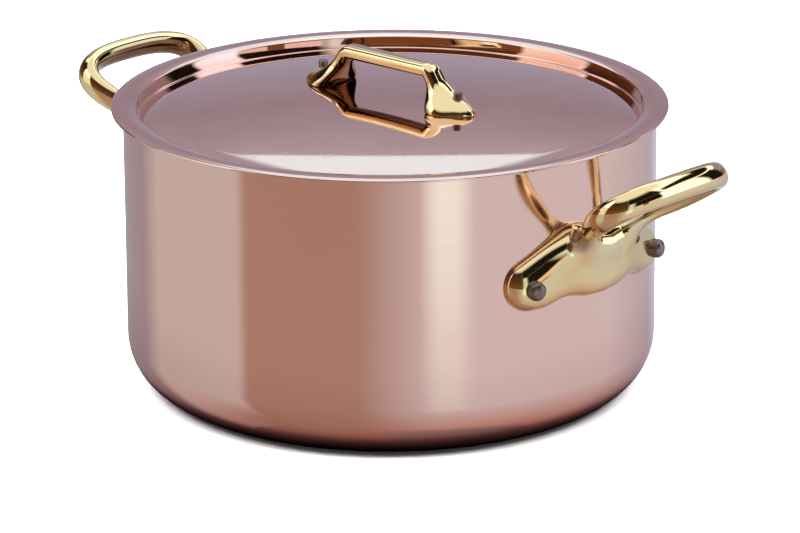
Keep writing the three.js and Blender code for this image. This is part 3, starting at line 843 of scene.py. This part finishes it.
def clouds_group():
    """Soft patches of handling and tarnish: a low, detailed noise, stretched to use the whole range."""
    tree, source, sink = new_group("clouds", {"Patches": 20.0}, "Cloud")
    noise = set_inputs(add_node(tree, "ShaderNodeTexNoise", source["Vector"]), Scale=source["Patches"],
                       Detail=5.0, Roughness=0.55)
    spread = add_node(tree, "ShaderNodeMapRange", noise.outputs["Fac"])
    set_inputs(spread, From_Min=0.3, From_Max=0.7)
    set_inputs(sink, Cloud=spread.outputs["Result"])
    return tree


def hairlines_group():
    """Fine scratches: noise squeezed hard along one direction leaves thin lines where it passes its mean, and
    the sharpest of three directions is kept."""
    tree, source, sink = new_group("hairlines", {"Scale": 260.0, "Width": 0.012}, "Scratch")
    found = 0.0
    for turn in HAIRLINE_TURNS:
        squeeze = add_node(tree, "ShaderNodeMapping", source["Vector"])
        set_inputs(squeeze, Rotation=turn, Scale=HAIRLINE_SQUEEZE)
        noise = add_node(tree, "ShaderNodeTexNoise", squeeze.outputs["Vector"])
        set_inputs(noise, Scale=source["Scale"], Detail=1.0)
        off = math_node(tree, "ABSOLUTE", math_node(tree, "SUBTRACT", noise.outputs["Fac"], NOISE_MEAN))
        near = math_node(tree, "SUBTRACT", 1.0, math_node(tree, "DIVIDE", off, source["Width"]))
        found = math_node(tree, "MAXIMUM", near, found)
    set_inputs(sink, Scratch=found)
    return tree


turned_lines, clouds, hairlines = turned_lines_group(), clouds_group(), hairlines_group()
print("node groups:", ", ".join(group.name for group in (turned_lines, clouds, hairlines)))


# %% A metal to start from
def new_metal(name):
    """A material with a fully metallic shader; gives it, its tree, its shader and its Object coordinates."""
    material = bpy.data.materials.new(name)
    material.use_nodes = True
    tree = material.node_tree
    shader = set_inputs(tree.nodes["Principled BSDF"], Metallic=1.0)
    return material, tree, shader, add_node(tree, "ShaderNodeTexCoord").outputs["Object"]


def use_group(tree, group, place, **values):
    """Places a group in a material with its own values; gives its output."""
    node = add_node(tree, "ShaderNodeGroup", node_tree=group)
    return set_inputs(node, Vector=place, **values).outputs[0]


# %% Layers on a metal
def mix_colours(tree, share, first, second):
    """A colour between two, by a share; either may be a colour or an output."""
    node = add_node(tree, "ShaderNodeMix", share, data_type="RGBA", clamp_factor=True)
    feed(node.inputs[6], first)
    feed(node.inputs[7], second)
    return node.outputs[2]


def scaled(tree, value, low, high):
    """A value from 0..1 stretched to low..high."""
    return set_inputs(add_node(tree, "ShaderNodeMapRange", value), To_Min=low, To_Max=high).outputs["Result"]


def summed(tree, *layers):
    """The sum of values from 0..1, each stretched to a low..high of its own."""
    first, *others = (scaled(tree, *layer) for layer in layers)
    for other in others:
        first = math_node(tree, "ADD", first, other)
    return first


def point_mark(tree, name):
    """The value that mark_points stored under a name."""
    return add_node(tree, "ShaderNodeAttribute", attribute_name=name).outputs["Fac"]


def bump(tree, height, depth, strength):
    """A Bump node of a true depth in metres; gives its normal."""
    node = set_inputs(add_node(tree, "ShaderNodeBump"), Height=height, Distance=depth, Strength=strength)
    return node.outputs["Normal"]


def brush_round(tree, shader, amount):
    """Grooves that run round the axis: anisotropy by an amount, about a tangent that circles Z, turned by a
    quarter."""
    tangent = add_node(tree, "ShaderNodeTangent", direction_type="RADIAL", axis="Z").outputs["Tangent"]
    set_inputs(shader, Anisotropic=amount, Anisotropic_Rotation=0.25, Tangent=tangent)


def coat(material, *pieces):
    """Puts a material on pieces."""
    for piece in pieces:
        piece.data.materials.append(material)
    print(material.name, "is on", ", ".join(piece.name for piece in pieces))


# %% [markdown]
# ## Copper
# The wall is brushed round and round with a fine abrasive belt and left satin. Each groove is too fine to
# see, but together they spread a reflection up and down the wall and leave it sharp sideways, which is what
# the shader's anisotropy does; coarser lines show as faint streaks. The lid is buffed almost to a mirror.

# %% Brushed and polished copper
COPPER_BRIGHT = (0.885, 0.605, 0.51)
COPPER_DEEP = (0.835, 0.55, 0.455)
STREAK_SHARE, CLOUD_SHARE = 0.6, 0.4


def brushed_copper():
    """Satin copper: fine and coarse tool lines in roughness, colour and bump, over clouds of handling."""
    material, tree, shader, place = new_metal("brushed_copper")
    fine = use_group(tree, turned_lines, place, Lines=2600.0, Streaks=9.0)
    coarse = use_group(tree, turned_lines, place, Lines=420.0, Streaks=3.0)
    cloud = use_group(tree, clouds, place, Patches=14.0)
    tone = summed(tree, (coarse, 0.0, STREAK_SHARE), (cloud, 0.0, CLOUD_SHARE))
    rough = summed(tree, (fine, 0.05, 0.14), (cloud, 0.0, 0.03))
    grooves = math_node(tree, "ADD", fine, coarse)
    brush_round(tree, shader, 0.5)
    set_inputs(shader, Base_Color=mix_colours(tree, tone, COPPER_DEEP, COPPER_BRIGHT), Roughness=rough,
               Normal=bump(tree, grooves, depth=0.00001, strength=0.25))
    return material


def polished_copper():
    """Buffed copper: nearly a mirror, with a haze of turning lines, clouds and hairline scratches."""
    material, tree, shader, place = new_metal("polished_copper")
    line = use_group(tree, turned_lines, place, Lines=1500.0, Streaks=5.0)
    cloud = use_group(tree, clouds, place, Patches=22.0)
    scratch = use_group(tree, hairlines, place, Scale=200.0, Width=0.006)
    rough = summed(tree, (line, 0.012, 0.035), (cloud, 0.0, 0.01), (scratch, 0.0, 0.06))
    set_inputs(shader, Base_Color=mix_colours(tree, cloud, COPPER_DEEP, COPPER_BRIGHT), Roughness=rough,
               Normal=bump(tree, line, depth=0.000003, strength=0.15))
    return material


coat(brushed_copper(), pot_shell)
coat(polished_copper(), lid_shell)

# %% [markdown]
# ## Steel
# The lining is stainless steel with a satin ring pattern, seen when the lid is lifted. The rivets are
# darker: a bare steel with a brown-grey skin, a little rubbed on top.

# %% Satin lining and dark rivets
LINING_DEEP, LINING_BRIGHT = (0.70, 0.69, 0.675), (0.78, 0.775, 0.765)
RIVET_DEEP, RIVET_BRIGHT = (0.18, 0.14, 0.125), (0.27, 0.22, 0.205)


def satin_steel():
    """Stainless steel turned to a satin: grey, with tool lines round the axis."""
    material, tree, shader, place = new_metal("satin_steel")
    line = use_group(tree, turned_lines, place, Lines=1800.0, Streaks=7.0)
    cloud = use_group(tree, clouds, place, Patches=16.0)
    rough = summed(tree, (line, 0.18, 0.34), (cloud, 0.0, 0.06))
    brush_round(tree, shader, 0.4)
    set_inputs(shader, Base_Color=mix_colours(tree, cloud, LINING_DEEP, LINING_BRIGHT), Roughness=rough,
               Normal=bump(tree, line, depth=0.00001, strength=0.3))
    return material


def dark_steel():
    """Rivet steel: brown-grey, mottled, with fine pits and hairlines."""
    material, tree, shader, place = new_metal("dark_steel")
    cloud = use_group(tree, clouds, place, Patches=260.0)
    pits = use_group(tree, clouds, place, Patches=1500.0)
    scratch = use_group(tree, hairlines, place, Scale=500.0, Width=0.02)
    rough = summed(tree, (cloud, 0.26, 0.38), (scratch, 0.0, 0.1))
    set_inputs(shader, Base_Color=mix_colours(tree, cloud, RIVET_DEEP, RIVET_BRIGHT), Roughness=rough,
               Normal=bump(tree, pits, depth=0.00003, strength=0.25))
    return material


coat(satin_steel(), pot_lining, lid_lining)
coat(dark_steel(), *side_rivets, *lid_rivets)

# %% [markdown]
# ## Bronze
# The castings are ground and buffed to a pale gold mirror wherever a wheel can reach. In the fillets between
# plate and loop it can't, so the skin of the sand mould stays there: paler, matt and finely grained. On the
# inside of the loops and of the bridge a dark brown is painted on as shade, more on the far loop than on the
# near one. The values recess and inside, stored on the points, tell the material where each is.

# %% Polished bronze with a cast skin in its recesses
BRONZE_BRIGHT = (0.86, 0.70, 0.39)
BRONZE_DEEP = (0.79, 0.62, 0.32)
BRONZE_CAST = (0.80, 0.70, 0.47)
# The next colour is a dark brown painted shade for the insides of the loops and the bridge; the cover after
# it is how fully it covers there.
BRONZE_PAINTED_SHADE = (0.10, 0.03, 0.006)
PAINTED_SHADE_COVER = 0.97
CAST_FROM, CAST_TO, CAST_WANDER, CAST_ROUGHNESS = 0.45, 0.85, 0.15, 0.28


def polished_bronze():
    """Pale gold metal: a mirror with hairlines, turning to a grained casting skin where the recess value
    rises, and to a dark brown painted shade where the inside value rises."""
    material, tree, shader, place = new_metal("polished_bronze")
    cloud = use_group(tree, clouds, place, Patches=45.0)
    scratch = use_group(tree, hairlines, place, Scale=320.0, Width=0.01)
    grain = use_group(tree, clouds, place, Patches=1700.0)
    edge = math_node(tree, "ADD", point_mark(tree, "recess"), scaled(tree, cloud, -CAST_WANDER, CAST_WANDER))
    skin = add_node(tree, "ShaderNodeMapRange", edge, interpolation_type="SMOOTHSTEP")
    cast = set_inputs(skin, From_Min=CAST_FROM, From_Max=CAST_TO).outputs["Result"]
    # Painted shade: the inside value darkens the bronze towards a dark brown.
    painted_shade = scaled(tree, point_mark(tree, "inside"), 0.0, PAINTED_SHADE_COVER)
    buffed = mix_colours(tree, cloud, BRONZE_DEEP, BRONZE_BRIGHT)
    buffed = mix_colours(tree, painted_shade, buffed, BRONZE_PAINTED_SHADE)
    rough = summed(tree, (cloud, 0.025, 0.055), (scratch, 0.0, 0.06), (cast, 0.0, CAST_ROUGHNESS))
    sand = math_node(tree, "MULTIPLY", grain, cast)
    set_inputs(shader, Base_Color=mix_colours(tree, cast, buffed, BRONZE_CAST), Roughness=rough,
               Normal=bump(tree, sand, depth=0.00006, strength=0.6))
    return material


coat(polished_bronze(), right_handle, left_handle, lid_handle)

# %% [markdown]
# ## The studio
# Polished metal has almost no look of its own: it shows what stands round it. On a bare white table copper
# looks like pink plastic, so a photographer stands cards about it, out of the picture: pale ones at the
# sides for broad gleams, dark ones near the camera for contrast, grey ones behind for the lid. Here each
# card is a patch of a large sphere that only reflections see. Its bearings are degrees to the right of the
# camera and its heights degrees above the level, and it is clear at its soft edges.

# %% Colours of the cards
COOL_WHITE, WHITE, SOFT_WHITE = (0.95, 1.26, 1.46), (1.9, 1.95, 2.1), (1.05, 1.06, 1.1)
DARK, DARK_BROWN = (0.012, 0.009, 0.007), (0.13, 0.06, 0.028)
PALE_LEFT, TABLE_LEFT, BOX_LEFT = (0.63, 0.65, 0.67), (1.0, 1.02, 1.05), (1.15, 1.02, 0.92)
PALE_RIGHT, TABLE_RIGHT, BROWN_RIGHT = (0.72, 0.765, 0.86), (0.74, 0.56, 0.50), (0.30, 0.15, 0.08)
BOX_RIGHT, SHELF_RIGHT, SHELF_GAP = (1.45, 1.62, 2.0), (0.95, 0.76, 0.69), (0.22, 0.09, 0.04)
STRIP, STRIP_GLOW = (0.84, 0.92, 0.93), (1.05, 1.34, 1.34)
WARM_DIM, WARM_TABLE, WARM_BROWN = (0.42, 0.30, 0.262), (0.60, 0.43, 0.375), (0.20, 0.08, 0.03)
GREY_BLUE, GREY_MAUVE = (0.42, 0.43, 0.58), (0.34, 0.30, 0.375)
GREY_MIDDLE, GREY_PALE = (0.405, 0.375, 0.455), (0.50, 0.49, 0.58)
GREY_WARM, GREY_FAR, GREY_RIM = (0.44, 0.40, 0.42), (0.37, 0.37, 0.45), (0.60, 0.66, 0.82)

# %% A list of cards
CARDS = (
    # name, bearings, heights, soft edges (left, right, low, high), colour below, colour above, arch
    ("roof", (-180, 180), (15, 60), (0, 0, 0, 0), WHITE, WHITE),
    ("back_roof", (160, 200), (15, 44), (6, 6, 0, 3), COOL_WHITE, COOL_WHITE),
    ("overhead", (-180, 180), (48, 90), (0, 0, 8, 0), SOFT_WHITE, SOFT_WHITE),
    ("far_table", (-180, 180), (-90, 2), (0, 0, 0, 0), GREY_WARM, GREY_FAR),
    ("back_card", (120, 240), (0, 18), (6, 6, 0, 0), GREY_BLUE, GREY_MAUVE),
    ("back_card_middle", (120, 240), (18, 24.4), (6, 6, 0, 0.2), GREY_MAUVE, GREY_MIDDLE),
    ("back_card_top", (168, 192), (23.8, 30.4), (0, 0, 0, 0.2), GREY_MIDDLE, GREY_PALE, 0.036),
    ("back_card_left", (187, 212), (24, 48), (3, 8, 0, 6), GREY_MIDDLE, GREY_PALE),
    ("back_card_right", (148, 173), (24, 48), (8, 3, 0, 6), GREY_MIDDLE, GREY_PALE),
    ("left_low_card", (-131, -60), (-60, -19), (14, 0, 0, 0), TABLE_LEFT, PALE_LEFT),
    ("left_card", (-131, -60), (-19, 0), (14, 0, 0, 2), PALE_LEFT, PALE_LEFT),
    ("left_box", (-106, -60), (-2, 30), (4, 0, 2, 2), BOX_LEFT, BOX_LEFT),
    ("left_dark_card", (-160, -104), (-2, 30), (6, 4, 2, 2), WARM_BROWN, DARK),
    ("right_low_card", (-25, 176), (-60, -19), (0, 72, 0, 0), TABLE_RIGHT, PALE_RIGHT),
    ("right_card", (-25, 176), (-19, 0), (0, 72, 0, 2), PALE_RIGHT, PALE_RIGHT),
    ("right_rim_card", (146, 192), (-60, -3), (12, 6, 0, 2), GREY_RIM, GREY_RIM),
    ("right_brown_card", (104, 150), (-2, 11), (0, 10, 2, 1), BROWN_RIGHT, BROWN_RIGHT),
    ("right_dark_card", (10, 132), (-2, 30), (0, 6, 2, 2), DARK, DARK),
    ("right_shelf", (30, 86), (-3, 8), (3, 3, 2, 1), SHELF_RIGHT, SHELF_RIGHT),
    ("right_shelf_gap", (50, 60), (-3, 8), (1, 1, 2, 1), SHELF_GAP, SHELF_GAP),
    ("right_box", (75, 106), (-7, 30), (3, 4, 5, 2), BOX_RIGHT, BOX_RIGHT),
    ("right_streak_card", (84, 152), (30, 43), (3, 4, 2, 2), DARK, DARK),
    ("front_low_card", (-67, 22), (-90, -2), (4, 36, 0, 2), WARM_TABLE, WARM_DIM),
    ("corner_table", (-126, -58), (-80, -24), (56, 0, 0, 24), WARM_TABLE, WARM_DIM),
    ("strip_card", (12, 35), (-21, 28), (8, 8, 3, 2), STRIP, STRIP),
    ("strip_glow", (12, 35), (-19.5, 0), (8, 8, 3.5, 6), STRIP_GLOW, STRIP_GLOW),
    ("front_card", (-67, 14), (-3, 11), (3, 3, 2, 0), WARM_BROWN, WARM_BROWN),
    ("front_high_card", (-67, 14), (10, 60), (3, 3, 1, 12), DARK_BROWN, DARK),
    ("left_high_card", (-145, -104), (27, 60), (8, 6, 2, 12), DARK, DARK),
    ("right_high_card", (12, 84), (27, 62), (0, 6, 2, 12), DARK, DARK),
)


# %% Cards round the table
CARD_DISTANCE, CARD_SPACING = 3.0, 0.03
CARD_CENTRE = 0.08 * UP
CARD_TURNS, CARD_RISES = 97, 49


def seen_by(obj, camera=False, diffuse=False, glossy=True, shadow=False):
    """Sets which rays see a studio object."""
    obj.visible_camera, obj.visible_diffuse, obj.visible_glossy = camera, diffuse, glossy
    obj.visible_transmission, obj.visible_shadow = glossy, shadow


def grid_faces(rows, columns):
    """Four-sided faces of a grid of points that are numbered row by row."""
    number = np.arange(rows * columns).reshape(rows, columns)
    return np.stack([number[:-1, :-1], number[:-1, 1:], number[1:, 1:], number[1:, :-1]], -1).reshape(-1, 4)


def fade(values, soft_start, soft_end):
    """From 0 to 1 over a soft start and back over a soft end, in steps of the values' own unit."""
    rise = np.clip((values - values[0]) / max(soft_start, TINY), 0.0, 1.0)
    fall = np.clip((values[-1] - values) / max(soft_end, TINY), 0.0, 1.0)
    return np.where(soft_start > 0, rise, 1.0) * np.where(soft_end > 0, fall, 1.0)


def bare_material(name):
    """A material with an empty tree; gives both."""
    material = bpy.data.materials.new(name)
    material.use_nodes = True
    material.node_tree.nodes.clear()
    return material, material.node_tree


def glow_material(name, low, high):
    """A glow between two colours by height, that fades to clear at the card's soft edges."""
    material, tree = bare_material(name)
    colour = mix_colours(tree, point_mark(tree, "height"), low, high)
    glow = add_node(tree, "ShaderNodeEmission", colour).outputs[0]
    clear = add_node(tree, "ShaderNodeBsdfTransparent").outputs[0]
    mixed = add_node(tree, "ShaderNodeMixShader", point_mark(tree, "cover"), clear, glow).outputs[0]
    add_node(tree, "ShaderNodeOutputMaterial", mixed)
    return material


def studio_card(order, name, bearings, heights, soft, low, high, arch=0.0):
    """A patch of a sphere between two bearings and two heights. An arch lowers the upper edge by the square
    of the way from the middle bearing. Later cards stand nearer, so their soft edges show the card behind."""
    turn, rise = np.linspace(*bearings, CARD_TURNS), np.linspace(*heights, CARD_RISES)
    share = np.linspace(0.0, 1.0, CARD_RISES)
    sunk = arch * (turn - np.mean(bearings))[:, None] ** 2 * share
    outward = direction(CAMERA_BEARING + np.radians(turn)[:, None], np.radians(rise - sunk)).reshape(-1, 3)
    points = (CARD_CENTRE + (CARD_DISTANCE - CARD_SPACING * order) * outward) / MM
    card = make_piece(name, points, [grid_faces(CARD_TURNS, CARD_RISES)], -outward)
    mark_points(card, "cover", fade(turn, *soft[:2])[:, None] * fade(rise, *soft[2:]))
    mark_points(card, "height", np.broadcast_to(share, (CARD_TURNS, CARD_RISES)))
    card.data.materials.append(glow_material(name, low, high))
    seen_by(card)


for order, card in enumerate(CARDS):
    studio_card(order, *card)

# %% [markdown]
# ## The table
# The pot's rounded corner mirrors the strip of table beside it, which lies in the pot's own shadow, and so
# the corner darkens through red to black. A disc that only reflections see paints that strip's shadow. The
# floor itself is a matt white that keeps the soft shadow, and the disc and the floor never show in the same
# ray.

# %% Painted shadow on the table, seen only in reflections
# Stops of the painted shadow: dark at the pot's foot, clear farther out.
SHADOW_STOPS = (
    # distance from the axis in metres, share of red let through, share of green and blue
    (0.106, 0.0, 0.0), (0.112, 0.04, 0.02), (0.117, 0.23, 0.11), (0.121, 0.48, 0.33), (0.127, 0.68, 0.54),
    (0.136, 0.77, 0.67), (0.16, 0.85, 0.80), (0.24, 1.0, 1.0),
)
SHADOW_DISC_RADIUS, SHADOW_DISC_HEIGHT, SHADOW_DISC_SIDES = 250.0, -0.2, 96


def distance_from_middle(tree):
    """How far a point is from the middle of its object, in metres."""
    place = add_node(tree, "ShaderNodeTexCoord").outputs["Object"]
    return vector_node(tree, "LENGTH", place)["Value"]


def shadow_veil_material():
    """A clear veil, the painted shadow, that lets through a share of each colour by the distance from the
    axis.
    """
    material, tree = bare_material("table_painted_shadow")
    ramp = add_node(tree, "ShaderNodeValToRGB", distance_from_middle(tree))
    stops = ramp.color_ramp.elements
    for place, _, _ in SHADOW_STOPS[1:-1]:
        stops.new(place)
    for stop, (place, red, rest) in zip(stops, SHADOW_STOPS):
        stop.position, stop.color = place, (red, rest, rest, 1.0)
    veil = add_node(tree, "ShaderNodeBsdfTransparent", ramp.outputs["Color"]).outputs[0]
    add_node(tree, "ShaderNodeOutputMaterial", veil)
    return material


def table_painted_shadow():
    """A painted shadow: a dark disc round the pot that only reflections see, just under the floor."""
    turn = np.linspace(0.0, 2.0 * math.pi, SHADOW_DISC_SIDES, endpoint=False)
    rim = SHADOW_DISC_RADIUS * direction(turn, np.zeros(SHADOW_DISC_SIDES))
    points = np.concatenate([np.zeros((1, 3)), rim]) + SHADOW_DISC_HEIGHT * UP
    number = 1 + np.arange(SHADOW_DISC_SIDES)
    fan = np.stack([np.zeros(SHADOW_DISC_SIDES, int), number, np.roll(number, -1)], -1)
    shadow_disc = make_piece("table_painted_shadow", points, [fan], np.tile(UP, (len(points), 1)))
    shadow_disc.data.materials.append(shadow_veil_material())
    seen_by(shadow_disc)


table_painted_shadow()

# %% Floor
FLOOR_HALF, FLOOR_HEIGHT, FLOOR_ROWS = 12000.0, -0.05, 9
LIT_RADIUS, WHITE_RADIUS = 0.5, 0.9
TABLE_WHITE, PLAIN_WHITE = (0.92, 0.92, 0.92), (1.0, 1.0, 1.0)


def white_table():
    """A matt white that takes the pot's shadow near it, and is plain white to the camera farther out."""
    material, tree = bare_material("white_table")
    matt = add_node(tree, "ShaderNodeBsdfPrincipled")
    set_inputs(matt, Base_Color=TABLE_WHITE, Roughness=0.9, Specular_IOR_Level=0.1)
    plain = add_node(tree, "ShaderNodeEmission", PLAIN_WHITE, 1.0)
    far = add_node(tree, "ShaderNodeMapRange", distance_from_middle(tree))
    set_inputs(far, From_Min=LIT_RADIUS, From_Max=WHITE_RADIUS)
    seen = add_node(tree, "ShaderNodeLightPath").outputs["Is Camera Ray"]
    share = math_node(tree, "MULTIPLY", far.outputs["Result"], seen)
    mixed = add_node(tree, "ShaderNodeMixShader", share, matt.outputs[0], plain.outputs[0]).outputs[0]
    add_node(tree, "ShaderNodeOutputMaterial", mixed)
    return material


def plain_floor():
    """A wide level square, a hair under the pot's base."""
    side = np.linspace(-FLOOR_HALF, FLOOR_HALF, FLOOR_ROWS)
    x, y = (grid.ravel() for grid in np.meshgrid(side, side))
    points = np.stack([x, y, np.full_like(x, FLOOR_HEIGHT)], -1)
    floor = make_piece("floor", points, [grid_faces(FLOOR_ROWS, FLOOR_ROWS)], np.tile(UP, (len(points), 1)))
    floor.data.materials.append(white_table())
    seen_by(floor, camera=True, diffuse=True, glossy=False, shadow=True)


plain_floor()

# %% [markdown]
# ## Light
# The lamps only make the shadow and the matt tones, because reflections see the cards instead of them. Two
# stand in front, one hangs over the pot, and one behind draws the thin shadow at the pot's foot forwards.
# The room is white wherever a look or a reflection passes every card.

# %% Lamps
LAMPS = (
    # name, bearing to the right of the camera, height in degrees, distance, size, power
    ("left_lamp", -38.0, 48.0, 2.2, 1.0, 70.0),
    ("right_lamp", 38.0, 48.0, 2.2, 1.0, 70.0),
    ("overhead_lamp", 0.0, 88.0, 2.0, 1.4, 20.0),
    ("back_lamp", 175.0, 58.0, 2.2, 1.2, 45.0),
)


def soft_lamp(name, bearing, height, distance, size, power):
    """A square lamp that shines at the pot from a bearing and a height."""
    turn = CAMERA_BEARING + math.radians(bearing)
    out, side = direction(turn, math.radians(height)), direction(turn + QUARTER_TURN, 0.0)
    data = bpy.data.lights.new(name, "AREA")
    data.shape, data.size, data.energy = "SQUARE", size, power
    lamp = new_object(name, data)
    lamp.matrix_world = placed(side, np.cross(out, side), out, distance * out)
    seen_by(lamp, diffuse=True, glossy=False)


for lamp in LAMPS:
    soft_lamp(*lamp)
print(len(CARDS), "cards and", len(LAMPS), "lamps")

# %% A white room
ROOM_LIGHT = (0.4, 0.4, 0.4)


def white_world():
    """White for the camera and in reflections, and a dimmer white for the light that falls on the table."""
    world = bpy.data.worlds.new("white_room")
    world.use_nodes = True
    tree = world.node_tree
    tree.nodes.clear()
    ray = add_node(tree, "ShaderNodeLightPath").outputs
    seen = math_node(tree, "MAXIMUM", ray["Is Camera Ray"], ray["Is Glossy Ray"])
    seen = math_node(tree, "MAXIMUM", seen, ray["Is Transmission Ray"])
    light = add_node(tree, "ShaderNodeBackground", ROOM_LIGHT, 1.0).outputs[0]
    sight = add_node(tree, "ShaderNodeBackground", PLAIN_WHITE, 1.0).outputs[0]
    mixed = add_node(tree, "ShaderNodeMixShader", seen, light, sight).outputs[0]
    add_node(tree, "ShaderNodeOutputWorld", mixed)
    bpy.context.scene.world = world


white_world()
bpy.context.scene.view_settings.view_transform = "Standard"
print("world:", bpy.context.scene.world.name)
